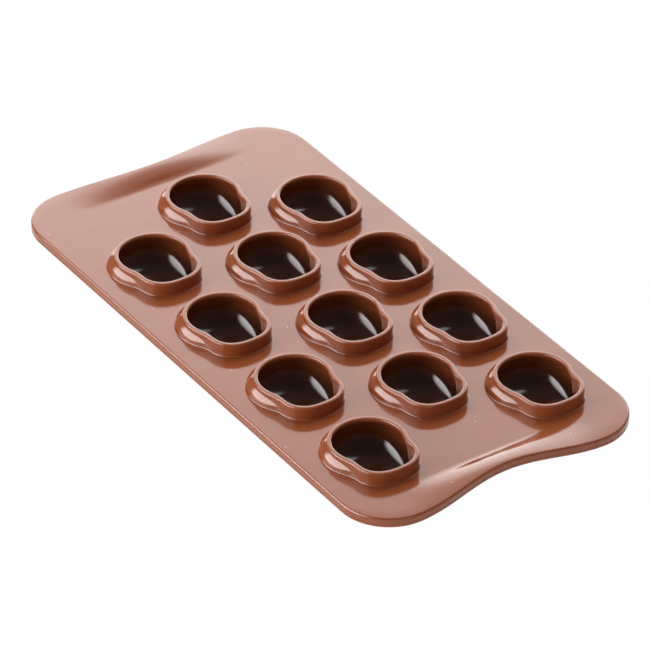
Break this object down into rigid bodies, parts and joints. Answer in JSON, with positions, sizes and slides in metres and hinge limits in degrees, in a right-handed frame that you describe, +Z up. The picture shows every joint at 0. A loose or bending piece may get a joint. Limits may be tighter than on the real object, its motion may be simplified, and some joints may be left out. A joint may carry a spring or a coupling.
{
  "type": "skull chocolate mold",
  "caption": "Silicone chocolate mold: skull-shaped cups with raised rims in staggered columns of one flexible sheet, with a raised grip lip along each short end.",
  "frame": {"origin": "on the surface the cups' feet stand on, under the middle of the sheet", "axes": "+X along the sheet towards the end the skulls' jaws point at, +Y across it, +Z up out of the cups' mouths"},
  "size_m": [0.214, 0.106, 0.0155],
  "materials": {
    "silicone": "glossy chocolate-brown silicone"
  },
  "bodies": {
    "root": {"sheet": "silicone", "skull_cup_a1": "silicone", "skull_cup_a2": "silicone", "skull_cup_a3": "silicone", "skull_cup_a4": "silicone", "skull_cup_b1": "silicone", "skull_cup_b2": "silicone", "skull_cup_b3": "silicone", "skull_cup_b4": "silicone", "skull_cup_c1": "silicone", "skull_cup_c2": "silicone", "skull_cup_c3": "silicone", "skull_cup_c4": "silicone"}
  },
  "joints": []
}
